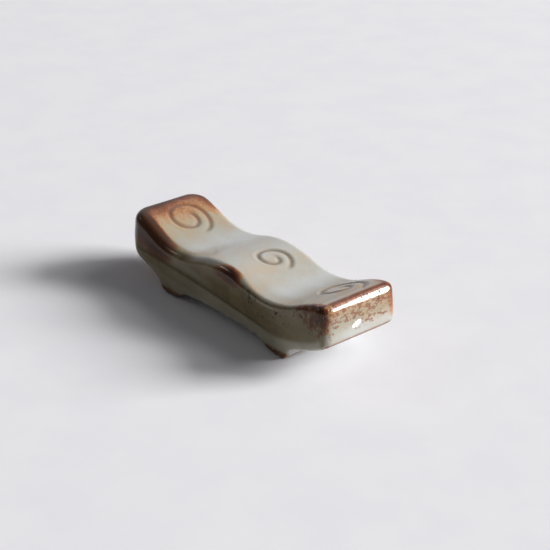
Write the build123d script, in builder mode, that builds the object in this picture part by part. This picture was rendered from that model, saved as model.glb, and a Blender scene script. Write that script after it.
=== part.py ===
"""Chopstick rest: a wave-shaped stoneware rest, moulded as two hollow halves on two foot bars, and glazed.

Millimetres. X runs along the rest, Y across it, Z up from the table. The origin is on the table, under the middle.
"""

import os

from build123d import *

# Overall form, measured on the glazed surface
LENGTH = 72.0
WIDTH = 22.6
END_HEIGHT = 17.75
HUMP_HEIGHT = 15.65
SADDLE_HEIGHT = 12.9
SADDLE_X = 16.4
LEFT_CORNER = 5.0
RIGHT_CORNER = 3.2
RIM_RADIUS = 2.2

# Walls: they lean in from the seam, upwards and downwards
SEAM_HEIGHT = 10.3
UPPER_DRAFT = 4.6
LOWER_DRAFT = 5.0

# Underside: an arch between the feet, and a curved slope under each end
ARCH_HEIGHT = 2.6
END_UNDERSIDE = 8.4
END_SLOPE = 14.0
LOWER_EDGE_RADIUS = 1.2

# Feet: bars across the underside, with a long ramp inside and a steep step outside
FOOT_X = 19.9
FOOT_TREAD = 4.4
FOOT_RAMP = 8.6
FOOT_STEP = 3.6
FOOT_STEP_LEAN = 2.4

# Impressed spirals on the deck, each (x, y, eye radius, pitch), drawn in half turns that open towards -X
SPIRALS = ((-25.6, 0.4, 2.4, 2.9), (5.1, 1.3, 1.4, 2.7), (27.2, 2.0, 2.0, 2.9))
SPIRAL_HALF_TURNS = 3
SPIRAL_LINE = 0.8
SPIRAL_DEPTH = 0.4

# Making: glaze, clay wall, joining slip, foot lands, dry foot and kiln vent
GLAZE = 0.4
WALL = 2.8
CAVITY_CORNER = 1.5
SLIP = 0.5
LAND_RISE = 0.8
DRY_FOOT = 0.6
VENT_DIAMETER = 3.0

# Worked out from the sizes above
foot_inner = FOOT_X - FOOT_TREAD / 2
foot_outer = FOOT_X + FOOT_TREAD / 2
land_height = ARCH_HEIGHT + GLAZE - LAND_RISE
seam_top_height = SEAM_HEIGHT + SLIP / 2
block_top = max(END_HEIGHT, HUMP_HEIGHT) + RIM_RADIUS
seam_top = Plane.XY.offset(seam_top_height)
seam_bottom = Plane.XY.offset(SEAM_HEIGHT - SLIP / 2)
land = Plane.XY.offset(land_height)
on_table = (Align.CENTER, Align.CENTER, Align.MIN)


def s_curve(start, end):
    """Two tangent arcs from start to end, level at both ends, meeting half-way."""
    middle = ((start[0] + end[0]) / 2, (start[1] + end[1]) / 2)
    first = TangentArc(start, middle, tangent=(1, 0))
    TangentArc(middle, end, tangent=first % 1)


def deck_line(inset):
    """Right half of the wave, from the hump over the saddle to the end, lowered by inset."""
    hump = (0, HUMP_HEIGHT - inset)
    saddle = (SADDLE_X, SADDLE_HEIGHT - inset)
    end = (LENGTH / 2, END_HEIGHT - inset)
    s_curve(hump, saddle)
    s_curve(saddle, end)
    return end


def walls(inset, left_corner, right_corner):
    """Rounded block with the walls' lean, widest at the seam, from the table to above the deck."""
    with BuildPart() as block:
        for direction, height, draft in ((1, block_top - SEAM_HEIGHT, UPPER_DRAFT), (-1, SEAM_HEIGHT, LOWER_DRAFT)):
            with BuildSketch(Plane((0, 0, SEAM_HEIGHT), x_dir=(1, 0, 0), z_dir=(0, 0, direction))) as plan:
                Rectangle(LENGTH - 2 * inset, WIDTH - 2 * inset)
                fillet(plan.vertices().group_by(Axis.X)[-1], right_corner)
                fillet(plan.vertices().sort_by(Axis.X)[:2], left_corner)
            extrude(amount=height, taper=draft)
    return block.part


def spiral_grooves(inset):
    """Round-ended grooves along the spirals, with a floor that follows the deck, wider in the clay by its glaze."""
    line = SPIRAL_LINE + 2 * inset
    with BuildPart() as grooves:
        with BuildSketch():
            for x, y, eye, pitch in SPIRALS:
                arcs = []
                with BuildLine():
                    for turn in range(SPIRAL_HALF_TURNS):
                        side = turn % 2
                        arcs.append(CenterArc((x - side * pitch / 2, y), eye + turn * pitch / 2, 180 * side, 180))
                trace(line_width=line)
                with Locations(arcs[0] @ 1, arcs[-1] @ 0):
                    Circle(line / 2)
        extrude(amount=block_top)
        with BuildSketch(Plane.XZ):
            with BuildLine():
                deck_end = deck_line(inset + SPIRAL_DEPTH)
                Polyline(deck_end, (deck_end[0], block_top), (0, block_top))
                mirror(about=Plane.YZ)
            make_face()
        extrude(amount=WIDTH / 2, both=True, mode=Mode.INTERSECT)
    return grooves.part


def moulded_form(inset):
    """The whole outer form with its feet and spirals, set in from the glazed surface by inset."""
    with BuildPart() as form:
        with BuildSketch(Plane.XZ):
            with BuildLine():
                deck_end = deck_line(inset)
                end_bottom = (LENGTH / 2, END_UNDERSIDE + inset)
                step_top = (foot_outer + FOOT_STEP_LEAN - inset, FOOT_STEP + inset)
                tread_outer = (foot_outer - inset, 0)
                tread_inner = (foot_inner + inset, 0)
                ramp_top = (foot_inner + inset - FOOT_RAMP, ARCH_HEIGHT + inset)
                Line(deck_end, end_bottom)
                TangentArc(step_top, end_bottom, tangent=Vector(1, 0).rotate(Axis.Z, END_SLOPE))
                Polyline(step_top, tread_outer, tread_inner)
                TangentArc(ramp_top, tread_inner, tangent=(1, 0))
                Line(ramp_top, (0, ARCH_HEIGHT + inset))
                mirror(about=Plane.YZ)
            make_face()
        extrude(amount=WIDTH / 2, both=True)
        add(walls(inset, LEFT_CORNER - inset, RIGHT_CORNER - inset), mode=Mode.INTERSECT)
        deck = form.faces().filter_by(lambda face: face.normal_at().Z > 0.8)
        across = deck.edges().filter_by(Axis.Y).sort_by(Axis.X)
        rim = deck.edges().filter_by(Axis.Y, reverse=True) + [across[0], across[-1]]
        fillet(rim, RIM_RADIUS - inset)
        underside = form.faces().filter_by(lambda face: face.normal_at().Z < -0.7)
        raised = underside.filter_by(lambda face: face.center().Z > 0)
        across = raised.edges().filter_by(Axis.Y).sort_by(Axis.X)
        lower_edges = raised.edges().filter_by(Axis.Y, reverse=True) + [across[0], across[-1]]
        fillet(lower_edges, LOWER_EDGE_RADIUS - inset)
        add(spiral_grooves(inset), mode=Mode.SUBTRACT)
    return form.part


glazed_form = moulded_form(0)
clay_form = moulded_form(GLAZE)

cavity_inset = GLAZE + WALL

with BuildPart() as upper_cavity:
    with BuildSketch(Plane.XZ):
        with BuildLine():
            deck_end = deck_line(cavity_inset)
            Polyline(deck_end, (deck_end[0], 0), (0, 0))
            mirror(about=Plane.YZ)
        make_face()
    extrude(amount=WIDTH / 2, both=True)
    add(walls(cavity_inset, CAVITY_CORNER, CAVITY_CORNER), mode=Mode.INTERSECT)
    split(bisect_by=seam_top, keep=Keep.TOP)

with BuildPart() as lower_cavity:
    with BuildSketch(Plane.XZ):
        with BuildLine():
            floor = ARCH_HEIGHT + cavity_inset
            slope_start = (foot_outer - cavity_inset, floor)
            slope_end = (LENGTH / 2, END_UNDERSIDE + cavity_inset)
            Polyline((0, floor), slope_start, slope_end, (LENGTH / 2, block_top), (0, block_top))
            mirror(about=Plane.YZ)
        make_face()
    extrude(amount=WIDTH / 2, both=True)
    add(walls(cavity_inset, CAVITY_CORNER, CAVITY_CORNER), mode=Mode.INTERSECT)

with BuildPart() as upper_half:
    add(clay_form)
    split(bisect_by=seam_top, keep=Keep.TOP)
    add(upper_cavity.part, mode=Mode.SUBTRACT)

with BuildPart() as seam_slip:
    add(clay_form)
    split(bisect_by=seam_top, keep=Keep.BOTTOM)
    split(bisect_by=seam_bottom, keep=Keep.TOP)
    add(lower_cavity.part, mode=Mode.SUBTRACT)

with BuildPart() as lower_half:
    add(clay_form)
    split(bisect_by=seam_bottom, keep=Keep.BOTTOM)
    split(bisect_by=land, keep=Keep.TOP)
    add(lower_cavity.part, mode=Mode.SUBTRACT)
    Cylinder(VENT_DIAMETER / 2, SEAM_HEIGHT, align=on_table, mode=Mode.SUBTRACT)

with BuildPart() as left_foot:
    add(clay_form)
    split(bisect_by=land, keep=Keep.BOTTOM)
    split(bisect_by=Plane.YZ, keep=Keep.BOTTOM)

with BuildPart() as right_foot:
    add(clay_form)
    split(bisect_by=land, keep=Keep.BOTTOM)
    split(bisect_by=Plane.YZ, keep=Keep.TOP)

with BuildPart() as glaze_coat:
    add(glazed_form)
    add(clay_form, mode=Mode.SUBTRACT)
    split(bisect_by=Plane.XY.offset(DRY_FOOT), keep=Keep.TOP)
    Cylinder(VENT_DIAMETER / 2, SEAM_HEIGHT, align=on_table, mode=Mode.SUBTRACT)

pieces = {
    "upper_half": upper_half,
    "seam_slip": seam_slip,
    "lower_half": lower_half,
    "left_foot": left_foot,
    "right_foot": right_foot,
    "glaze_coat": glaze_coat,
}

os.makedirs("parts", exist_ok=True)
for name, piece in pieces.items():
    piece.part.label = name
    export_step(piece.part, f"parts/{name}.step")
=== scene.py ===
"""Looks of a glazed stoneware chopstick rest: a fine mesh of the glaze round the packed clay pieces.

The form is worked out in millimetres, and the scene is in metres. X runs along the rest to its right end,
Y across it to its far side, and Z up from the table. The origin is on the table, under the middle.
"""

from math import cos, radians, sin, tan

import bmesh
import bpy
import numpy as np
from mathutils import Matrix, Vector


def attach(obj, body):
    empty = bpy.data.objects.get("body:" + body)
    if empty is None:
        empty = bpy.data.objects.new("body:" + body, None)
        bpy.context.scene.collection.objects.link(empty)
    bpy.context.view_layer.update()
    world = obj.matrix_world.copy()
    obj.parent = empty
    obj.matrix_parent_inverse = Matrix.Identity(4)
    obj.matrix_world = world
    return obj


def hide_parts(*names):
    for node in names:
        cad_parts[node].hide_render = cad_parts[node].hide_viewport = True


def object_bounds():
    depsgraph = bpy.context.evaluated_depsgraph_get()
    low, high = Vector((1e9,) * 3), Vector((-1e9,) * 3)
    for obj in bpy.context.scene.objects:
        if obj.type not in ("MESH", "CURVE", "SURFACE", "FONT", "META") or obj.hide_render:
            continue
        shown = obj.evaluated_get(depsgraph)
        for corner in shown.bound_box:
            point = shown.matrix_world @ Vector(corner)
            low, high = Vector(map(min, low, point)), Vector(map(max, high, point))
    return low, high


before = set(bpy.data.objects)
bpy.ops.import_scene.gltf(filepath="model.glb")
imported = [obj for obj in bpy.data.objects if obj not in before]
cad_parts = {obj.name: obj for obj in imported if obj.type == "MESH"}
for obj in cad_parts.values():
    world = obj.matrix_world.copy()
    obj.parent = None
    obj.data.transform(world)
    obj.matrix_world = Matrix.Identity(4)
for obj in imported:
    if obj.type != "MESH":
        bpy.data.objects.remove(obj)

cad_low, cad_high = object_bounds()

MM = 0.001

# Sizes of the form in millimetres and degrees, as in the solids
LENGTH = (cad_high.x - cad_low.x) / MM
WIDTH = (cad_high.y - cad_low.y) / MM
END_HEIGHT = 17.75
HUMP_HEIGHT = 15.65
SADDLE_HEIGHT = 12.9
SADDLE_X = 16.4
SEAM_HEIGHT = 10.3
UPPER_DRAFT = 4.6
LOWER_DRAFT = 5.0
ARCH_HEIGHT = 2.6
END_UNDERSIDE = 8.4
END_SLOPE = 14.0
FOOT_INNER = 17.7
FOOT_OUTER = 22.1
FOOT_RAMP = 8.6
FOOT_STEP = 3.6
FOOT_STEP_LEAN = 2.4
DRY_FOOT = 0.6
GLAZE = 0.4
VENT_RADIUS = 1.5

# Solids that stay as they were packed, in bare clay
CLAY_PIECES = ("upper_half", "seam_slip", "lower_half", "left_foot", "right_foot")

# Spirals, each with the X and Y of its centre, the radius of its eye and its pitch
SPIRALS = ((-25.6, 0.4, 2.4, 2.9), (5.1, 1.3, 1.4, 2.7), (27.2, 2.0, 2.0, 2.9))
SPIRAL_HALF_TURNS = 3

# Softness of the hand-finished glaze surface, in millimetres and degrees
LEFT_CORNER = 5.0
RIGHT_CORNER = 2.8
LEFT_RIM = 2.35
MIDDLE_RIM = 2.2
RIGHT_RIM = 1.7
SADDLE_RIM = 1.3
LOWER_EDGE_RADIUS = 1.15
FOOT_EDGE_RADIUS = 0.55
FOOT_BLEND = 1.0
FOOT_BEAD = 0.12
FOOT_BEAD_RISE = 0.5
FOOT_BEAD_WIDTH = 0.5
BEVEL_TILT = 36.0
NEAR_BEVEL = 0.45
FAR_BEVEL = 1.0
BEVEL_ROUND = 0.6
SEAM_SOFTNESS = 2.0
SKIN_INSET = 0.06
WOBBLE = 0.1
HUMP_SWELL = 0.3
HUMP_SWELL_X = 5.0
HUMP_SWELL_WIDTH = 4.5

# Flow of the glaze over the wave: how far it reaches along X, and the share of the form taken from each place
GLAZE_FLOW = 2.0
FLOW_SHARES = ((-1, 0.25), (0, 0.5), (1, 0.25))

# Crease along the long walls, and the ridge above it
CREASE_HEIGHT = 7.25
CREASE_FALL = 0.08
CREASE_BEND = 0.001
CREASE_DEPTH = 0.12
CREASE_WIDTH = 0.35
RIDGE_BEAD = 0.08
RIDGE_WIDTH = 0.8

# Grooves of the spirals, their lips and the length over which their ends fade
GROOVE_DEPTH = 0.3
GROOVE_WIDTH = 0.52
LIP_HEIGHT = 0.04
LIP_OFFSET = 1.05
SPIRAL_FADE = 3.0

# Spans along X or Y over which a feature of the form grows from nothing to its full size
LEFT_RIM_X = (-12, -26)
RIGHT_RIM_X = (20, 32)
LEFT_CORNER_X = (10, -10)
CREASE_START_X = (-34, -26)
CREASE_END_X = (20, 12)
FAR_BEVEL_Y = (-7, 3)
HUMP_SWELL_Y = (2, -8)
CRISP_START_X = (6, 13)
CRISP_END_X = (32, 24)
CRISP_Y = (2, -6)
FOOT_START_X = (13, 16)
FOOT_END_X = (27, 24.5)

# Mesh of the glaze: its steps and margins in millimetres, how it settles, and its share of the glaze's depth
MESH_STEP = 0.36
GRID_MARGIN = 1.0
DECK_STEP = 0.05
FINE_STEP = 0.03
PAINT_STEP = 0.1
SETTLE_ROUNDS = 6
LEAST_STEEPNESS = 0.05
VENT_REACH = 0.6
SKIN_SHARE = 0.6


def smooth_step(start, full, value):
    """0 at start and 1 at full, which may be the lower one, with an eased rise between them."""
    t = np.clip((value - start) / (full - start), 0, 1)
    return t * t * (3 - 2 * t)


def bump(value, width):
    """Bell curve of the given width about zero."""
    return np.exp(-((value / width) ** 2))


def sin_wave(value, length, phase):
    """Sine of a coordinate with a given length in millimetres per radian."""
    return np.sin(value / length + phase)


def round_both(a, b, radius):
    """Distance to what two distances share, with a round edge between them."""
    u = np.maximum(a + radius, 0)
    v = np.maximum(b + radius, 0)
    return np.minimum(-radius, np.maximum(a, b)) + np.hypot(u, v)


def blend_either(a, b, width):
    """Distance to either of two forms, with a soft inner corner."""
    h = np.clip(0.5 + 0.5 * (b - a) / width, 0, 1)
    return b + (a - b) * h - width * h * (1 - h)


def s_curve(x, start, end):
    """Height of two equal tangent arcs from start to end, level at both ends."""
    dx = end[0] - start[0]
    dz = end[1] - start[1]
    radius = (dx * dx + dz * dz) / (4 * abs(dz))
    rise = np.sign(dz)
    along = np.clip(x - start[0], 0, dx)
    first = start[1] + rise * (radius - np.sqrt(radius ** 2 - np.minimum(along, dx / 2) ** 2))
    second = end[1] - rise * (radius - np.sqrt(radius ** 2 - np.minimum(dx - along, dx / 2) ** 2))
    return np.where(along < dx / 2, first, second)


def wave(x):
    """Height of the deck as drawn: hump, saddles and raised ends, in tangent arcs."""
    x = np.abs(x)
    hump = (0, HUMP_HEIGHT)
    saddle = (SADDLE_X, SADDLE_HEIGHT)
    end = (LENGTH / 2, END_HEIGHT)
    return np.where(x < SADDLE_X, s_curve(x, hump, saddle), s_curve(x, saddle, end))


def deck_height(x):
    """The wave with its changes of curvature eased by the flow of the glaze."""
    return sum(share * wave(x + shift * GLAZE_FLOW) for shift, share in FLOW_SHARES)


def half_turn(x, y, spiral, turn):
    """Distance across the deck to one half turn of a spiral, and how strong its groove is there."""
    centre_x, centre_y, eye, pitch = spiral
    side = turn % 2
    radius = eye + turn * pitch / 2
    dx = x - centre_x + side * pitch / 2
    dy = np.where(side, centre_y - y, y - centre_y)
    distance = np.hypot(np.hypot(dx, dy) - radius, np.maximum(-dy, 0))
    along = np.arctan2(np.maximum(dy, 0), dx) * radius
    strength = np.ones(np.shape(x))
    if turn == 0:
        strength = smooth_step(0, SPIRAL_FADE, np.pi * radius - along)
    if turn == SPIRAL_HALF_TURNS - 1:
        strength = smooth_step(0, SPIRAL_FADE, along)
    return distance, strength


def spiral_distance(x, y):
    """Distance across the deck to the nearest spiral line, and how strong the groove is there."""
    nearest = np.full(np.shape(x), np.inf)
    strength = np.zeros(np.shape(x))
    for spiral in SPIRALS:
        for turn in range(SPIRAL_HALF_TURNS):
            distance, fade = half_turn(x, y, spiral, turn)
            closer = distance < nearest
            strength = np.where(closer, fade, strength)
            nearest = np.where(closer, distance, nearest)
    return nearest, strength


def groove_depth(x, y):
    """How far the deck sinks along the spirals, with a low lip on either side."""
    distance, strength = spiral_distance(x, y)
    groove = GROOVE_DEPTH * bump(distance, GROOVE_WIDTH)
    lip = LIP_HEIGHT * bump(distance - LIP_OFFSET, GROOVE_WIDTH)
    return (groove - lip) * strength


def deck_distance(x, y, z):
    """Distance above the deck, with the spirals sunk in it and the near rim of the hump swollen a little."""
    slope = (deck_height(x + DECK_STEP) - deck_height(x - DECK_STEP)) / (2 * DECK_STEP)
    swell = HUMP_SWELL * bump(x - HUMP_SWELL_X, HUMP_SWELL_WIDTH) * smooth_step(*HUMP_SWELL_Y, y)
    return (z - deck_height(x) - swell + groove_depth(x, y)) / np.sqrt(1 + slope ** 2)


def body_underside(x):
    """Height of the underside without the feet: a flat arch, then a round slope up to the end."""
    start = (FOOT_OUTER + FOOT_STEP_LEAN, FOOT_STEP)
    chord = (LENGTH / 2 - start[0], END_UNDERSIDE - start[1])
    turn = np.arctan2(chord[1], chord[0]) - radians(END_SLOPE)
    radius = np.hypot(*chord) / (2 * sin(turn))
    centre_x = start[0] - radius * sin(radians(END_SLOPE))
    centre_z = start[1] + radius * cos(radians(END_SLOPE))
    slope = centre_z - np.sqrt(np.maximum(radius ** 2 - (x - centre_x) ** 2, 0))
    return np.where(x > centre_x, np.maximum(slope, ARCH_HEIGHT), ARCH_HEIGHT)


def foot_distance(x, z):
    """Side view of one foot: a long hollow ramp inside and a steep step outside."""
    ramp_start = FOOT_INNER - FOOT_RAMP
    ramp_radius = (FOOT_RAMP ** 2 + ARCH_HEIGHT ** 2) / (2 * ARCH_HEIGHT)
    ramp = ramp_radius - np.hypot(x - ramp_start, z - ARCH_HEIGHT + ramp_radius)
    step = ((x - FOOT_OUTER) * FOOT_STEP - z * FOOT_STEP_LEAN) / np.hypot(FOOT_STEP, FOOT_STEP_LEAN)
    return np.maximum(np.maximum(ramp, step), np.maximum(ramp_start - x, z - SEAM_HEIGHT))


def wall_distance(x, y, z):
    """Distance to the rounded upright walls, which lean in above and below the seam."""
    draft = np.where(z > SEAM_HEIGHT, tan(radians(UPPER_DRAFT)), tan(radians(LOWER_DRAFT)))
    lean = draft * (np.hypot(z - SEAM_HEIGHT, SEAM_SOFTNESS) - SEAM_SOFTNESS / 2)
    corner = RIGHT_CORNER + (LEFT_CORNER - RIGHT_CORNER) * smooth_step(*LEFT_CORNER_X, x)
    qx = np.abs(x) - (LENGTH / 2 - lean - corner)
    qy = np.abs(y) - (WIDTH / 2 - lean - corner)
    return np.hypot(np.maximum(qx, 0), np.maximum(qy, 0)) + np.minimum(np.maximum(qx, qy), 0) - corner


def crease_height(x):
    """Height on the long walls of a shallow crease, which falls towards the right foot."""
    return CREASE_HEIGHT - CREASE_FALL * x - CREASE_BEND * x ** 2


def crease_strength(x):
    """How marked the crease is along the wall: it fades before either end."""
    return smooth_step(*CREASE_START_X, x) * smooth_step(*CREASE_END_X, x)


def creased_walls(x, y, z):
    """Distance to the walls with the crease in the long ones and the low ridge above it."""
    above = z - crease_height(x)
    crease = CREASE_DEPTH * bump(above, CREASE_WIDTH)
    ridge = RIDGE_BEAD * bump(above - RIDGE_WIDTH, RIDGE_WIDTH)
    return wall_distance(x, y, z) + (crease - ridge) * crease_strength(x)


def right_bevel(x, y, z):
    """Distance to the wiped bevel along the top edge of the right end, broader towards the far side."""
    lean = (END_HEIGHT - SEAM_HEIGHT) * tan(radians(UPPER_DRAFT))
    depth = NEAR_BEVEL + (FAR_BEVEL - NEAR_BEVEL) * smooth_step(*FAR_BEVEL_Y, y)
    tilt = radians(BEVEL_TILT)
    return (x - LENGTH / 2 + lean) * cos(tilt) + (z - END_HEIGHT) * sin(tilt) + depth


def crisp_edge(x, y):
    """Where the rim is crisper: along the near edge of the right saddle."""
    return smooth_step(*CRISP_START_X, x) * smooth_step(*CRISP_END_X, x) * smooth_step(*CRISP_Y, y)


def rim_radius(x, y):
    """Roundness of the deck's rim: softer at the left end, crisper at the right end and the crisp edge."""
    rim = MIDDLE_RIM + (LEFT_RIM - MIDDLE_RIM) * smooth_step(*LEFT_RIM_X, x)
    rim = rim + (RIGHT_RIM - MIDDLE_RIM) * smooth_step(*RIGHT_RIM_X, x)
    return rim + (SADDLE_RIM - rim) * crisp_edge(x, y)


def lower_radius(x):
    """Roundness of the lower edges, which are crisper at the feet."""
    by_foot = smooth_step(*FOOT_START_X, np.abs(x)) * smooth_step(*FOOT_END_X, np.abs(x))
    return LOWER_EDGE_RADIUS + (FOOT_EDGE_RADIUS - LOWER_EDGE_RADIUS) * by_foot


def hand_wobble(x, y, z):
    """Slow unevenness of a hand-finished surface, from 0 to 1."""
    across = sin_wave(x, 7, 0.4) * sin_wave(y, 5, 1.1)
    upwards = sin_wave(x, 3.3, 2.0) * sin_wave(z, 3.1, 0.7)
    return 0.5 + 0.25 * (across + upwards)


def glaze_distance(x, y, z):
    """Signed distance in millimetres to the glazed surface, feet carried on below the table."""
    form = round_both(creased_walls(x, y, z), deck_distance(x, y, z), rim_radius(x, y))
    form = round_both(form, right_bevel(x, y, z), BEVEL_ROUND)
    underside = blend_either(body_underside(np.abs(x)) - z, foot_distance(np.abs(x), z), FOOT_BLEND)
    form = round_both(form, underside, lower_radius(x))
    bead = FOOT_BEAD * bump(z - DRY_FOOT - FOOT_BEAD_RISE, FOOT_BEAD_WIDTH)
    form = form + SKIN_INSET + WOBBLE * hand_wobble(x, y, z) - bead
    vent = VENT_RADIUS - np.hypot(x, y)
    return np.where(z < SEAM_HEIGHT / 2, np.maximum(form, vent), form)


def gradient(points, step):
    """Slope of the glaze distance at each point."""
    slopes = []
    for axis in range(3):
        shift = np.zeros(3)
        shift[axis] = step
        ahead = glaze_distance(*(points + shift).T)
        behind = glaze_distance(*(points - shift).T)
        slopes.append((ahead - behind) / (2 * step))
    return np.stack(slopes, 1)


def number_cells(inside):
    """Numbers the grid cells that the surface crosses, and gives -1 to the others."""
    cells = tuple(n - 1 for n in inside.shape)
    count = np.zeros(cells, np.int8)
    for i, j, k in np.ndindex(2, 2, 2):
        count += inside[i:i + cells[0], j:j + cells[1], k:k + cells[2]]
    crossed = (count > 0) & (count < 8)
    number = np.full(cells, -1, np.int64)
    number[crossed] = np.arange(crossed.sum())
    return number


def net_quads(inside, number, axis):
    """Quads round the grid edges along one axis that the surface crosses, turned to face outwards."""
    first = [slice(None)] * 3
    second = [slice(None)] * 3
    first[axis] = slice(0, -1)
    second[axis] = slice(1, None)
    start = inside[tuple(first)]
    crossed = start != inside[tuple(second)]
    at = np.argwhere(crossed)
    leaving = start[crossed]
    u, v = [other for other in range(3) if other != axis]
    limit = number.shape
    whole = (at[:, u] > 0) & (at[:, v] > 0) & (at[:, u] < limit[u]) & (at[:, v] < limit[v])
    at = at[whole]
    leaving = leaving[whole]
    ring = []
    for du, dv in ((-1, -1), (0, -1), (0, 0), (-1, 0)):
        cell = at.copy()
        cell[:, u] += du
        cell[:, v] += dv
        ring.append(number[tuple(cell.T)])
    quads = np.stack(ring, 1)
    # Seen along Y, X and Z turn the other way round than the other pairs do
    outward = ~leaving if axis == 1 else leaving
    quads[~outward] = quads[~outward][:, ::-1]
    return quads


def settle(points, step):
    """Draws points onto the glazed surface, along its slope."""
    for _ in range(SETTLE_ROUNDS):
        slope = gradient(points, FINE_STEP)
        distance = glaze_distance(*points.T)
        steepness = np.maximum((slope ** 2).sum(1), LEAST_STEEPNESS)
        points = points - np.clip(distance / steepness, -step / 2, step / 2)[:, None] * slope
    return points


def surface_net(low, high, step):
    """Points and quads of the glazed surface: one point per crossed grid cell, drawn onto the surface."""
    axes = [np.arange(low[i], high[i] + step, step) for i in range(3)]
    inside = glaze_distance(*np.meshgrid(*axes, indexing="ij")) < 0
    number = number_cells(inside)
    points = np.array(low) + (np.argwhere(number >= 0) + 0.5) * step
    quads = np.concatenate([net_quads(inside, number, axis) for axis in range(3)])
    return settle(points, step), quads


def cut_away(work, height, faces, keep_above):
    """Cuts faces by a level plane and takes away what lies past it."""
    edges = dict.fromkeys(edge for face in faces for edge in face.edges)
    corners = dict.fromkeys(corner for face in faces for corner in face.verts)
    bmesh.ops.bisect_plane(
        work,
        geom=[*faces, *edges, *corners],
        plane_co=(0, 0, height),
        plane_no=(0, 0, 1),
        clear_inner=keep_above,
        clear_outer=not keep_above,
    )


def vent_faces(work):
    """Faces of the skin that line the vent or lie close round it."""
    reach = (VENT_RADIUS + VENT_REACH) * MM
    faces = []
    for face in work.faces:
        centre = face.calc_center_median()
        if np.hypot(*centre[:2]) < reach and centre.z < SEAM_HEIGHT / 2 * MM:
            faces.append(face)
    return faces


def glaze_mesh():
    """The glaze as an open skin, cut at the dry foot line and at the vent."""
    low = (-LENGTH / 2 - GRID_MARGIN, -WIDTH / 2 - GRID_MARGIN, -GRID_MARGIN)
    high = (LENGTH / 2 + GRID_MARGIN, WIDTH / 2 + GRID_MARGIN, END_HEIGHT + GRID_MARGIN)
    points, quads = surface_net(low, high, MESH_STEP)
    mesh = bpy.data.meshes.new("glaze")
    mesh.from_pydata((points * MM).tolist(), [], quads.tolist())
    work = bmesh.new()
    work.from_mesh(mesh)
    cut_away(work, DRY_FOOT * MM, list(work.faces), keep_above=True)
    cut_away(work, (ARCH_HEIGHT + GLAZE) * MM, vent_faces(work), keep_above=False)
    work.to_mesh(mesh)
    work.free()
    return mesh


# Places, widths and slants of marks in the glaze, in millimetres
# The rim line is partly paler glaze and partly a painted highlight of a low lip
RIM_LINE_X = 32.4
RIM_LINE_Y = -2.0
RIM_LINE_WIDTH = 0.5
CORNER_SLANT = 0.45
BAND_HEIGHT = 11.6
BAND_SLANT = 0.07
POOL_WIDTH = 0.55

# Normals over which deck turns to wall (Z) and end to long wall (Y), in general and at the crisp edge, where
# the wall colour reaches higher up the rim, partly a crisper glaze edge and partly a painted dark edge shadow
WALL_NORMAL = (0.75, 0.35)
CRISP_SHADE_WALL_NORMAL = (0.9, 0.6)
SIDE_NORMAL = (0.5, 0.85)
CRISP_SHADE_SIDE_NORMAL = (0.3, 0.6)


def span_between(first, second, share):
    """A span that moves from one to another as share grows from 0 to 1."""
    return [a + (b - a) * share for a, b in zip(first, second)]


class Places:
    """Where each point of the glaze lies, in millimetres, and how far it is part of a wall or long wall."""

    def __init__(self, mesh):
        points = np.empty(len(mesh.vertices) * 3)
        mesh.vertices.foreach_get("co", points)
        points = points.reshape(-1, 3) / MM
        self.x, self.y, self.z = points.T
        self.from_middle = np.abs(self.x)
        self.along_rim_line = np.abs(self.y - RIM_LINE_Y)
        self.below = deck_height(self.x) - self.z
        self.rise = self.z - body_underside(self.from_middle)
        self.inside = -wall_distance(self.x, self.y, self.z)
        self.above_crease = self.z - crease_height(self.x)
        self.slanted_x = self.x - CORNER_SLANT * self.below
        self.above_band = self.z - BAND_HEIGHT - BAND_SLANT * self.y
        slope = gradient(points, PAINT_STEP)
        normals = slope / np.linalg.norm(slope, axis=1)[:, None]
        self.upright, self.side = self.walls(normals)

    def walls(self, normals):
        """Shares of wall and of long wall, by the way the surface faces and along two stretches of rim; at
        the crisp edge the darker wall colour reaches higher, partly as painted shade.
        """
        crisp = crisp_edge(self.x, self.y)
        near_rim = self.patch(1, y=(-7.2, -8.8), x=(-7, -14))
        # Painted shade: at the crisp edge the olive wall colour starts higher, as a dark line above the
        # painted highlight
        wall_span = span_between(WALL_NORMAL, CRISP_SHADE_WALL_NORMAL, crisp)
        side_span = span_between(SIDE_NORMAL, CRISP_SHADE_SIDE_NORMAL, crisp)
        upright = np.maximum(near_rim, smooth_step(*wall_span, normals[:, 2]))
        side = upright * smooth_step(*side_span, np.abs(normals[:, 1]))
        return upright, np.maximum(near_rim, side)

    def patch(self, strength, **edges):
        """A strength with soft edges, which along each named measure grows from one value to the other."""
        for name, span in edges.items():
            strength = strength * smooth_step(*span, getattr(self, name))
        return strength

    def spot(self, strength, **bells):
        """A strength that falls off as a bell curve, with a centre and width, along each named measure."""
        for name, (centre, width) in bells.items():
            strength = strength * bump(getattr(self, name) - centre, width)
        return strength


def left_iron(at):
    """Iron over the left end: on its deck, along its rim, on the long walls and on the end face."""
    off_side = 1 - at.side
    near = at.patch(1, y=(-5, -9))
    deck = at.patch(0.47, x=(-18.5, -32.5)) * off_side * (1 - at.patch(0.2, y=(-2, -7)))
    near_deck = at.patch(0.2, x=(-27, -32), y=(3, -4)) * off_side
    rim = at.patch(0.41, x=(-21, -36), inside=(4.6, 1.4), below=(4, 1))
    near_rim = at.patch(0.75, x=(-15, -26), y=(-7.5, -9.0), below=(6, 2))
    near_wall = at.patch(0.62, x=(-13, -29), below=(11, 2.5)) * at.side * near
    far_wall = at.patch(0.36, x=(-13, -31), below=(9, 1)) * at.side * (1 - near)
    end_face = at.patch(0.5, x=(-30, -34), y=(4, -8), below=(11, 3), from_middle=(33.2, 35)) * off_side
    return deck + near_deck + rim + near_rim + near_wall + far_wall + end_face


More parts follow.
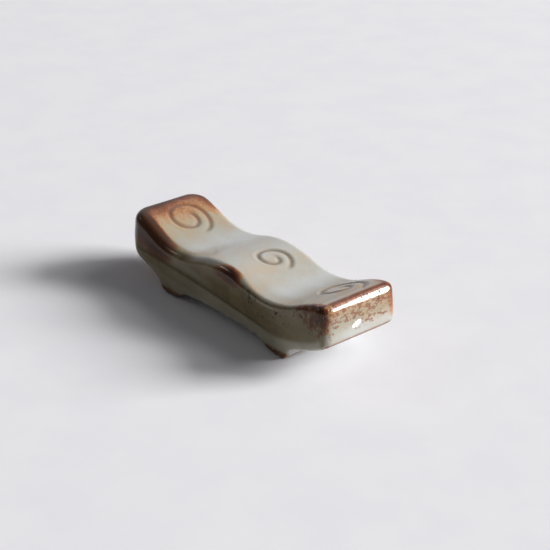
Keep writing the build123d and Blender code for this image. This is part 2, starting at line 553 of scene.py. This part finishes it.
def middle_iron(at):
    """Iron all round the rim, high on the long walls, at the near side of the hump and of the feet."""
    rim = at.patch(1, inside=(2.8, 0.8), below=(3.2, 0.8))
    rim = rim * (0.03 + at.patch(0.48, x=(-21, -36)) + at.spot(0.1, x=(0, 6)))
    walls = at.patch(0.1, below=(5, 0.5)) * at.side
    hump = at.spot(0.9, x=(4.2, 3.2), below=(1.2, 1.9))
    hump = hump * at.patch(1, y=(-5, -9)) * at.patch(1, y=(-8.5, -9.4))
    below_hump = at.spot(0.32, x=(0.8, 2.8), below=(2.2, 1.4)) * at.patch(1, y=(-9.2, -10.2))
    feet = at.patch(0.45, z=(3.0, 0.9), y=(-8.8, -9.8))
    return rim + walls + hump + below_hump + feet


def right_iron(at):
    """Iron at the right end: on its deck, where it is partly painted shade, and rim, at two corners, on the
    far wall and on the end face.
    """
    off_side = 1 - at.side
    # Iron streaks on the deck, which also darken it as painted shade
    deck = at.patch(0.22, x=(21, 31), below=(1.6, 0.8)) * off_side
    inner_rim = at.patch(0.42, x=(27, 34), below=(1.6, 0.8)) * at.spot(1, inside=(1.8, 0.6))
    # Less iron along the rim line, partly paler glaze and partly a painted highlight
    highlit_line_iron_cut = pale_and_highlit_rim_line(at) * at.patch(0.2, below=(1.6, 0.8))
    near_corner = at.patch(0.72, y=(-8.9, -10.2), slanted_x=(22, 34.5), below=(10, 2))
    far_corner = at.spot(0.45, x=(35.5, 2.0), y=(10, 2.0)) * at.patch(1, z=(7, 12))
    far_wall = at.patch(0.4, x=(26, 34)) * at.side * (1 - at.patch(1, y=(-5, -9)))
    on_end = at.patch(1, from_middle=(33.2, 35), x=(27, 34)) * off_side
    end_top = at.patch(0.27, below=(6.5, 1.8)) * on_end
    end_bottom = at.patch(0.5, rise=(1.0, 0.4)) * on_end
    return deck + inner_rim - highlit_line_iron_cut + near_corner + far_corner + far_wall + end_top + end_bottom


def pale_and_highlit_rim_line(at):
    """A thin pale line across the deck beside the rim of the right end: partly paler glaze, partly a painted
    highlight where a low lip would catch the light.
    """
    return at.spot(1, x=(RIM_LINE_X, RIM_LINE_WIDTH)) * at.patch(1, along_rim_line=(10, 5))


def pale_deck(at):
    """Pale pooled celadon, a little lighter as painted sheen, in the saddles, less along their near rim as
    painted shade, on the hump, and in the rim line, which is partly a painted highlight.
    """
    saddles = np.maximum(at.spot(1, x=(-12, 6.5)), at.spot(1, x=(SADDLE_X, 5.5)))
    # Painted shade: less pale towards the near rim, which turns away from the light
    saddles = saddles * (1 - at.patch(0.6, y=(-4.5, -8.5)))
    hump = at.spot(0.6, x=(1, 8))
    return (saddles + hump + 0.45 * pale_and_highlit_rim_line(at)) * (1 - at.upright)


def pale_walls(at):
    """Lighter along the lower edge, as painted light thrown up from the table, and lighter under and above
    the crease and on the walls' right part.
    """
    # Painted light: the lower edge is lightened where light thrown up from the table would fall on it
    lower_edge_bounce_light = 0.33 + at.patch(0.22, x=(-24, -8)) + at.patch(0.4, x=(16, 26))
    lower_edge_bounce_light = lower_edge_bounce_light * at.patch(1, rise=(3.6, 1.4)) * (1 - at.patch(0.8, x=(33.5, 35)))
    under_crease = (0.14 + at.patch(0.33, x=(-26, 0))) * at.patch(1, above_crease=(0.2, -1.0)) * at.side
    ridge = 0.05 + at.spot(0.3, above_crease=(2.0, 0.8))
    ridge = ridge * at.patch(1, x=(-31, -26)) * at.patch(1, x=(0, -9)) * at.side
    right_part = at.patch(0.2, x=(12, 25)) * at.side
    return np.maximum(np.maximum(lower_edge_bounce_light, under_crease), np.maximum(right_part, ridge))


def pale_marks(at):
    """Paler glaze low on the end faces, and a painted highlight: a thin pale line along the near edge of the
    right saddle.
    """
    end_faces = at.patch(0.6, from_middle=(34.2, 35.4), z=(13.5, 10.5)) * at.upright * (1 - at.side)
    end_faces = end_faces * (1 - at.patch(0.6, y=(-2, -8)))
    # Painted highlight: a thin pale line where the near rim of the right saddle would catch the light
    near_rim_highlight = at.spot(0.6, below=(1.25, 0.22)) * at.patch(1, y=(-8, -9.5))
    near_rim_highlight = near_rim_highlight * at.patch(1, x=(8.5, 12)) * at.patch(1, x=(22, 17))
    return end_faces + near_rim_highlight


def mottle_amount(at):
    """How thickly brown mottles stand on the right end face: along its top, near edge and a slanted band."""
    top = at.patch(1, z=(11.6, 14.4))
    band = at.spot(0.6, above_band=(0, 1.0)) * at.patch(1, y=(-7, 1))
    near = at.patch(0.5, y=(-6.5, -9.8), z=(10.0, 12.0))
    on_end = at.patch(1, x=(34, 35.2)) * at.upright * (1 - at.side)
    return on_end * np.maximum(np.maximum(top, band), near)


def paint_attributes(mesh):
    """Stores at each point, from 0 to 1, its share of long wall and of each colour or mark in the glaze,
    painted light and shade among them.
    """
    at = Places(mesh)
    line, strength = spiral_distance(at.x, at.y)
    attributes = {
        # Iron; on the right end's deck it is partly painted shade
        "iron": np.clip(left_iron(at) + middle_iron(at) + right_iron(at), 0, 1),
        # Paler glaze together with painted highlights, painted sheen and painted light thrown up from the
        # table
        "pale_glaze_and_painted_light": np.clip(pale_deck(at) + pale_walls(at) + pale_marks(at), 0, 1),
        "side": at.side,
        "groove": bump(line, POOL_WIDTH) * strength * (1 - at.upright),
        "crease": at.spot(1, above_crease=(0, CREASE_WIDTH)) * crease_strength(at.x) * at.side,
        "spotted": at.patch(1, x=(4, 12)) * at.spot(1, below=(2.6, 2.2)) * at.side,
        "feathered": at.patch(1, x=(24, 31), y=(-7, -9)),
        "mottled": mottle_amount(at),
        "pitted": at.patch(1, x=(33, 34.2), below=(3.2, 2.2)),
    }
    for name, values in attributes.items():
        layer = mesh.attributes.new(name, "FLOAT", "POINT")
        layer.data.foreach_set("value", np.ascontiguousarray(values, np.float32))


def linear(red, green, blue):
    """Shader colour from a screen colour out of 255."""
    channels = []
    for value in (red, green, blue):
        share = value / 255
        channels.append(share / 12.92 if share <= 0.04045 else ((share + 0.055) / 1.055) ** 2.4)
    return (*channels, 1)


class Shader:
    """Short calls for building the nodes of one material or world."""

    def __init__(self, owner):
        self.owner = owner
        owner.use_nodes = True
        self.tree = owner.node_tree

    def add(self, kind, **settings):
        node = self.tree.nodes.new(kind)
        for name, value in settings.items():
            setattr(node, name, value)
        return node

    def link(self, source, target):
        self.tree.links.new(source, target)

    def feed(self, socket, value):
        """Links a socket or sets a plain value."""
        if isinstance(value, bpy.types.NodeSocket):
            self.link(value, socket)
        else:
            socket.default_value = value

    def surface(self, name, value):
        """Feeds one input of the material's Principled node."""
        self.feed(self.tree.nodes["Principled BSDF"].inputs[name], value)

    def attribute(self, name):
        return self.add("ShaderNodeAttribute", attribute_name=name).outputs["Fac"]

    def place(self, stretch=(1, 1, 1)):
        """Object coordinates, stretched."""
        mapping = self.add("ShaderNodeMapping")
        mapping.inputs["Scale"].default_value = stretch
        self.link(self.add("ShaderNodeTexCoord").outputs["Object"], mapping.inputs["Vector"])
        return mapping.outputs["Vector"]

    def noise(self, scale, detail=3.0, roughness=0.55, stretch=(1, 1, 1), warp=0.0):
        node = self.add("ShaderNodeTexNoise")
        self.link(self.place(stretch), node.inputs["Vector"])
        node.inputs["Scale"].default_value = scale
        node.inputs["Detail"].default_value = detail
        node.inputs["Roughness"].default_value = roughness
        node.inputs["Distortion"].default_value = warp
        return node.outputs["Fac"]

    def cells(self, scale):
        """Distance to the nearest of scattered points, and a random number for each."""
        node = self.add("ShaderNodeTexVoronoi")
        self.link(self.place(), node.inputs["Vector"])
        node.inputs["Scale"].default_value = scale
        split = self.add("ShaderNodeSeparateColor")
        self.link(node.outputs["Color"], split.inputs["Color"])
        return node.outputs["Distance"], split.outputs["Red"]

    def oval(self, centre, turn, size, edge):
        """1 inside an oval that is turned about X, falling to 0 over an edge that is a share of its size."""
        mapping = self.add("ShaderNodeMapping", vector_type="TEXTURE")
        mapping.inputs["Location"].default_value = centre
        mapping.inputs["Rotation"].default_value = (turn, 0, 0)
        mapping.inputs["Scale"].default_value = size
        self.link(self.add("ShaderNodeTexCoord").outputs["Object"], mapping.inputs["Vector"])
        ball = self.add("ShaderNodeTexGradient", gradient_type="SPHERICAL")
        self.link(mapping.outputs["Vector"], ball.inputs["Vector"])
        return self.range(ball.outputs["Fac"], 0.0, edge)

    def facet(self, amount, normal, facing):
        """A normal that turns to face one way where amount is 1."""
        blend = self.add("ShaderNodeMix", data_type="VECTOR")
        self.feed(blend.inputs["Factor"], amount)
        self.feed(blend.inputs["A"], normal)
        self.feed(blend.inputs["B"], facing)
        unit = self.add("ShaderNodeVectorMath", operation="NORMALIZE")
        self.link(blend.outputs["Result"], unit.inputs[0])
        return unit.outputs["Vector"]

    def math(self, operation, a, b=0.0, clamp=False):
        node = self.add("ShaderNodeMath", operation=operation, use_clamp=clamp)
        self.feed(node.inputs[0], a)
        self.feed(node.inputs[1], b)
        return node.outputs[0]

    def times(self, a, b):
        return self.math("MULTIPLY", a, b)

    def range(self, value, low, high, to_low=0.0, to_high=1.0):
        """A value moved from one range to another, with an eased rise."""
        node = self.add("ShaderNodeMapRange", interpolation_type="SMOOTHSTEP")
        self.feed(node.inputs["Value"], value)
        for name, number in (("From Min", low), ("From Max", high), ("To Min", to_low), ("To Max", to_high)):
            self.feed(node.inputs[name], number)
        return node.outputs["Result"]

    def mix(self, amount, a, b):
        node = self.add("ShaderNodeMix", data_type="RGBA")
        self.feed(node.inputs["Factor"], amount)
        self.feed(node.inputs["A"], a)
        self.feed(node.inputs["B"], b)
        return node.outputs["Result"]

    def ramp(self, value, stops):
        node = self.add("ShaderNodeValToRGB")
        elements = node.color_ramp.elements
        while len(elements) < len(stops):
            elements.new(1.0)
        for element, (position, colour) in zip(elements, stops):
            element.position = position
            element.color = colour
        self.feed(node.inputs["Fac"], value)
        return node.outputs["Color"]

    def bump(self, height, distance, strength, normal=None):
        node = self.add("ShaderNodeBump")
        node.inputs["Distance"].default_value = distance
        node.inputs["Strength"].default_value = strength
        self.link(height, node.inputs["Height"])
        if normal is not None:
            self.link(normal, node.inputs["Normal"])
        return node.outputs["Normal"]

    def shown_rays(self):
        """Light Path rays that show a surface: seen by the camera, mirrored, or seen through something."""
        rays = self.add("ShaderNodeLightPath").outputs
        return rays["Is Camera Ray"], self.math("MAXIMUM", rays["Is Glossy Ray"], rays["Is Transmission Ray"])


# Colours of the glaze on the deck and the end faces
CELADON = linear(166, 160, 142)
# Pale pooled celadon, set a little lighter as painted sheen; also the colour of painted highlights on the
# deck
PALE_CELADON_AND_HIGHLIGHT = linear(208, 211, 209)
BEIGE = linear(174, 150, 116)
TAN = linear(176, 126, 84)
RUST = linear(132, 76, 46)
DARK_IRON = linear(92, 50, 25)
BLACK_IRON = linear(64, 35, 18)
POOLED = linear(126, 110, 88)
POOLED_IRON = linear(128, 84, 58)
DECK_BROWNS = ((0.2, BEIGE), (0.38, TAN), (0.56, RUST), (0.8, DARK_IRON), (0.97, BLACK_IRON))

# Colours of the thinner glaze on the long walls
OLIVE = linear(126, 111, 76)
DARK_OLIVE = linear(110, 94, 60)
# Paler glaze on the walls, also used for painted light thrown up from the table and for the painted highlight
# along the near rim
SIDE_PALE_AND_PAINTED_LIGHT = linear(202, 199, 180)
SIDE_TAN = linear(118, 84, 54)
SIDE_RUST = linear(104, 62, 34)
SIDE_IRON = linear(76, 43, 21)
CREASE_OLIVE = linear(66, 62, 36)
SPECK_BROWN = linear(52, 40, 28)
SIDE_BROWNS = ((0.2, OLIVE), (0.36, SIDE_TAN), (0.54, SIDE_RUST), (0.9, SIDE_IRON))

# Colours of the bare clay
CLAY = linear(120, 76, 52)
DARK_CLAY = linear(88, 54, 38)
SAND = linear(168, 132, 100)

# Textures, in waves or scattered points per metre
CLOUD_SCALE = 150
STREAK_SCALE = 620
GRAIN_SCALE = 1900
SPECK_SCALE = 1050
GATHER_SCALE = 340
FLECK_SCALE = 1500
PIT_SCALE = 950
PEEL_SCALE = 800
CLAY_CLOUD_SCALE = 220
CLAY_GRAIN_SCALE = 2600
SAND_SCALE = 1400

# How strongly each mark covers the colour under it
POOL_COVER = 0.85
CREASE_COVER = 0.7
SPECK_COVER = 0.95
MOTTLE_COVER = 0.8
PIT_COVER = 0.85
SAND_COVER = 0.6

# Gloss and relief of the glaze and the clay, with depths in millimetres
GLAZE_ROUGHNESS = (0.14, 0.26)
GLAZE_SPECULAR = 0.5
DULL_SPECULAR = 0.25
GLAZE_IOR = 1.5
COAT_WEIGHT = 0.15
COAT_ROUGHNESS = 0.08
PEEL_DEPTH = 0.12
PEEL_STRENGTH = 0.3
PIT_DEPTH = 0.3
PIT_STRENGTH = 1.0
CLAY_ROUGHNESS = (0.7, 0.9)
CLAY_DEPTH = 0.2
CLAY_STRENGTH = 0.5

# Small flat on the right end face that catches the light, in millimetres and degrees
FLAT_PLACE = (35.8, -1.6, 11.7)
FLAT_TURN = 22
FLAT_SIZE = (20, 1.7, 0.8)
FLAT_EDGE = 0.3
FLAT_FACING = (0.829, 0.08, 0.553)


def body_colour(s, clouds, side):
    """Celadon on the deck and olive on the long walls, each in two tones, and paler where the glaze pools and
    where light is painted in.
    """
    tone = s.range(clouds, 0.36, 0.66)
    body = s.mix(side, s.mix(tone, CELADON, BEIGE), s.mix(tone, OLIVE, DARK_OLIVE))
    pale_glaze_and_painted_light = s.times(s.attribute("pale_glaze_and_painted_light"), s.range(clouds, 0.25, 0.6, 0.98, 0.82))
    return s.mix(pale_glaze_and_painted_light, body, s.mix(side, PALE_CELADON_AND_HIGHLIGHT, SIDE_PALE_AND_PAINTED_LIGHT))


def broken_iron(s, iron):
    """The amount of iron, broken up by streaks and grain, with more contrast where it is feathered."""
    streaks = s.noise(STREAK_SCALE, 6, 0.7, stretch=(1, 1, 0.6), warp=0.6)
    grain = s.noise(GRAIN_SCALE, 3, 0.65)
    contrast = s.range(s.attribute("feathered"), 0.0, 1.0, 0.45, 2.2)
    uneven = s.times(s.math("SUBTRACT", streaks, 0.5), contrast)
    fine = s.times(s.math("SUBTRACT", grain, 0.5), 0.32)
    presence = s.range(iron, 0.0, 0.3)
    return s.math("ADD", iron, s.times(s.math("ADD", uneven, fine), presence), clamp=True)


def with_brown(s, colour, broken, side):
    """Breaks the glaze to brown, from tan where iron is thin to almost black where it is thick."""
    brown = s.mix(side, s.ramp(broken, DECK_BROWNS), s.ramp(broken, SIDE_BROWNS))
    return s.mix(s.range(broken, 0.1, 0.4), colour, brown)


def with_pools(s, colour, iron):
    """Darkens the glaze that has pooled in the spirals and in the crease of the long walls."""
    pooled = s.mix(s.range(iron, 0.02, 0.2), POOLED, POOLED_IRON)
    colour = s.mix(s.times(s.attribute("groove"), POOL_COVER), colour, pooled)
    return s.mix(s.times(s.attribute("crease"), CREASE_COVER), colour, CREASE_OLIVE)


def with_specks(s, colour, iron, side):
    """Adds dark specks, gathered in groups, in the spotted stretch of the walls and thinly where iron is."""
    specks = s.range(s.noise(SPECK_SCALE, 2, 0.5), 0.57, 0.62)
    gathered = s.range(s.noise(GATHER_SCALE, 3, 0.6), 0.4, 0.55)
    amount = s.math("ADD", s.range(iron, 0.05, 0.4, 0.0, 0.25), s.attribute("spotted"), clamp=True)
    specks = s.times(specks, s.times(amount, gathered))
    return s.mix(s.times(specks, SPECK_COVER), colour, s.mix(side, DARK_IRON, SPECK_BROWN))


def with_mottles(s, colour):
    """Adds rusty mottles on the right end face."""
    mottled = s.attribute("mottled")
    flecks = s.noise(FLECK_SCALE, 4, 0.65, stretch=(1, 0.55, 1.0))
    mottles = s.range(s.math("ADD", flecks, s.times(mottled, 0.1)), 0.55, 0.63)
    mottles = s.times(mottles, s.range(mottled, 0.02, 0.3))
    return s.mix(s.times(mottles, MOTTLE_COVER), colour, RUST)


def glaze_pits(s):
    """Scattered round pits along the top of the right end: 1 in a pit, 0 elsewhere."""
    distance, chance = s.cells(PIT_SCALE)
    pits = s.times(s.range(distance, 0.32, 0.14), s.range(chance, 0.66, 0.7))
    return s.times(pits, s.attribute("pitted"))


def glaze_normal(s, pits):
    """A slightly uneven skin with sunk pits, and the small flat that catches the light."""
    skin = s.bump(s.noise(PEEL_SCALE, 2, 0.5), PEEL_DEPTH * MM, PEEL_STRENGTH)
    skin = s.bump(s.math("SUBTRACT", 1.0, pits), PIT_DEPTH * MM, PIT_STRENGTH, skin)
    place = [value * MM for value in FLAT_PLACE]
    size = [value * MM for value in FLAT_SIZE]
    flat = s.oval(place, radians(FLAT_TURN), size, FLAT_EDGE)
    return s.facet(flat, skin, FLAT_FACING)


def glaze_material():
    """Glossy celadon, thinner and olive on the long walls, breaking to iron brown, with specks and pits."""
    s = Shader(bpy.data.materials.new("celadon_glaze"))
    clouds = s.noise(CLOUD_SCALE, 4, 0.6, warp=0.4)
    iron = s.attribute("iron")
    side = s.attribute("side")
    broken = broken_iron(s, iron)
    pits = glaze_pits(s)
    colour = body_colour(s, clouds, side)
    colour = with_brown(s, colour, broken, side)
    colour = with_pools(s, colour, iron)
    colour = with_specks(s, colour, iron, side)
    colour = with_mottles(s, colour)
    colour = s.mix(s.times(pits, PIT_COVER), colour, DARK_IRON)
    dull = s.math("MAXIMUM", side, s.range(broken, 0.4, 0.8))
    s.surface("Base Color", colour)
    s.surface("Roughness", s.range(clouds, 0.3, 0.7, *GLAZE_ROUGHNESS))
    s.surface("Specular IOR Level", s.range(dull, 0.0, 1.0, GLAZE_SPECULAR, DULL_SPECULAR))
    s.surface("IOR", GLAZE_IOR)
    s.surface("Coat Weight", COAT_WEIGHT)
    s.surface("Coat Roughness", COAT_ROUGHNESS)
    s.surface("Normal", glaze_normal(s, pits))
    return s.owner


def clay_material():
    """Bare fired stoneware: reddish brown, matte, with sand grains."""
    s = Shader(bpy.data.materials.new("bare_clay"))
    clouds = s.noise(CLAY_CLOUD_SCALE, 4, 0.6)
    grain = s.noise(CLAY_GRAIN_SCALE, 4, 0.7)
    distance, chance = s.cells(SAND_SCALE)
    sand = s.times(s.range(distance, 0.3, 0.15), s.range(chance, 0.6, 0.7))
    colour = s.mix(s.range(clouds, 0.35, 0.65), CLAY, DARK_CLAY)
    s.surface("Base Color", s.mix(s.times(sand, SAND_COVER), colour, SAND))
    s.surface("Roughness", s.range(grain, 0.3, 0.7, *CLAY_ROUGHNESS))
    s.surface("Normal", s.bump(grain, CLAY_DEPTH * MM, CLAY_STRENGTH))
    return s.owner


def dress_rest():
    """The glaze piece in place of its plain solid, and bare clay on the solids."""
    mesh = glaze_mesh()
    paint_attributes(mesh)
    mesh.materials.append(glaze_material())
    for polygon in mesh.polygons:
        polygon.use_smooth = True
    glaze = bpy.data.objects.new("glaze_skin", mesh)
    bpy.context.scene.collection.objects.link(glaze)
    thicken = glaze.modifiers.new("thickness", "SOLIDIFY")
    thicken.thickness = GLAZE * MM * SKIN_SHARE
    thicken.offset = -1
    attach(glaze, "root")
    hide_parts("glaze_coat")
    clay = clay_material()
    for name in CLAY_PIECES:
        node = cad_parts[name]
        node.data.materials.clear()
        node.data.materials.append(clay)


# Camera, fitted to the outline of the rest, in pixels, degrees and millimetres
IMAGE_SIZE = 550
CAMERA_AZIMUTH = 49.89
CAMERA_ELEVATION = 26.21
CAMERA_DISTANCE = 314.56
CAMERA_TARGET_HEIGHT = 8.0
FOCAL_PIXELS = 1342.78
TARGET_PIXEL = (254.69, 280.50)
SENSOR = 36.0

# Room: its colour, its brightness as light and mirrored on its near and far sides, and how these blend
ROOM_COLOUR = linear(236, 236, 240)
ROOM_LIGHT = 0.114
ROOM_NEAR = 0.12
ROOM_FAR = 0.85
ROOM_BLEND = 0.5

# Lamps, each with its azimuth and elevation in degrees, distance and size in metres, and power in watts
LAMPS = {
    "window_low": (140, 24, 8.0, (3.2, 3.0), 1000.0),
    "window_high": (144, 46, 8.0, (3.6, 2.2), 96.0),
    "near_glint": (303, 36, 2.2, (0.5, 0.25), 1.4),
}
LAMP_COLOUR = (1.0, 0.99, 0.98)

# Table top: the two tones that it shows, the tone of the light that it throws back, and its reach in metres
FLOOR_TONE = linear(245, 245, 250)
FLOOR_PALE_TONE = linear(248, 248, 252)
FLOOR_BOUNCE = linear(206, 206, 210)
FLOOR_CLOUD_SCALE = 60
FLOOR_ROUGHNESS = 0.9
FLOOR_SPECULAR = 0.1
FLOOR_REACH = 6.0


def toward(azimuth, elevation):
    """Unit vector from the rest at an azimuth and elevation, where azimuth 0 is straight to the near side."""
    a = radians(azimuth)
    e = radians(elevation)
    return Vector((sin(a) * cos(e), -cos(a) * cos(e), sin(e)))


def add_camera():
    camera = bpy.data.cameras.new("camera")
    camera.sensor_width = SENSOR
    camera.lens = FOCAL_PIXELS / IMAGE_SIZE * SENSOR
    camera.shift_x = (IMAGE_SIZE / 2 - TARGET_PIXEL[0]) / IMAGE_SIZE
    camera.shift_y = (TARGET_PIXEL[1] - IMAGE_SIZE / 2) / IMAGE_SIZE
    camera.clip_start = 0.01
    camera.clip_end = 20
    holder = bpy.data.objects.new("camera", camera)
    back = toward(CAMERA_AZIMUTH, CAMERA_ELEVATION)
    holder.location = Vector((0, 0, CAMERA_TARGET_HEIGHT * MM)) + back * CAMERA_DISTANCE * MM
    holder.rotation_euler = back.to_track_quat("Z", "Y").to_euler()
    bpy.context.scene.collection.objects.link(holder)
    bpy.context.scene.camera = holder


def add_lamp(name, azimuth, elevation, distance, size, power):
    """A soft rectangular lamp that faces the rest."""
    lamp = bpy.data.lights.new(name, "AREA")
    lamp.shape = "RECTANGLE"
    lamp.size, lamp.size_y = size
    lamp.energy = power
    lamp.color = LAMP_COLOUR
    holder = bpy.data.objects.new(name, lamp)
    back = toward(azimuth, elevation)
    holder.location = back * distance
    holder.rotation_euler = back.to_track_quat("Z", "Y").to_euler()
    bpy.context.scene.collection.objects.link(holder)


def floor_material():
    """Pale cool table top, which throws back less light than it shows, so no glow gathers beside the rest."""
    s = Shader(bpy.data.materials.new("pale_table"))
    clouds = s.noise(FLOOR_CLOUD_SCALE, 3)
    colour = s.mix(s.range(clouds, 0.3, 0.7), FLOOR_TONE, FLOOR_PALE_TONE)
    seen, mirrored = s.shown_rays()
    s.surface("Base Color", s.mix(s.math("MAXIMUM", seen, mirrored), FLOOR_BOUNCE, colour))
    s.surface("Roughness", FLOOR_ROUGHNESS)
    s.surface("Specular IOR Level", FLOOR_SPECULAR)
    return s.owner


def add_floor():
    """The table top as one flat face under the rest."""
    signs = ((-1, -1), (1, -1), (1, 1), (-1, 1))
    mesh = bpy.data.meshes.new("floor")
    mesh.from_pydata([(x * FLOOR_REACH, y * FLOOR_REACH, 0) for x, y in signs], [], [(0, 1, 2, 3)])
    mesh.materials.append(floor_material())
    floor = bpy.data.objects.new("floor", mesh)
    bpy.context.scene.collection.objects.link(floor)


def add_studio():
    """Pale room: dim as light on the rest, bright where it is seen, mirrored brightest on the far side."""
    s = Shader(bpy.data.worlds.new("studio"))
    background = s.tree.nodes["Background"]
    background.inputs["Color"].default_value = ROOM_COLOUR
    seen, mirrored = s.shown_rays()
    direction = s.add("ShaderNodeSeparateXYZ")
    s.link(s.add("ShaderNodeTexCoord").outputs["Generated"], direction.inputs["Vector"])
    room = s.range(direction.outputs["Y"], -ROOM_BLEND, ROOM_BLEND, ROOM_NEAR, ROOM_FAR)
    strength = s.math("MAXIMUM", s.times(seen, ROOM_FAR), s.times(mirrored, room))
    s.link(s.math("MAXIMUM", strength, ROOM_LIGHT), background.inputs["Strength"])
    bpy.context.scene.world = s.owner


dress_rest()
add_floor()
add_studio()
for lamp_name, lamp_setting in LAMPS.items():
    add_lamp(lamp_name, *lamp_setting)
add_camera()
bpy.context.scene.view_settings.view_transform = "Standard"
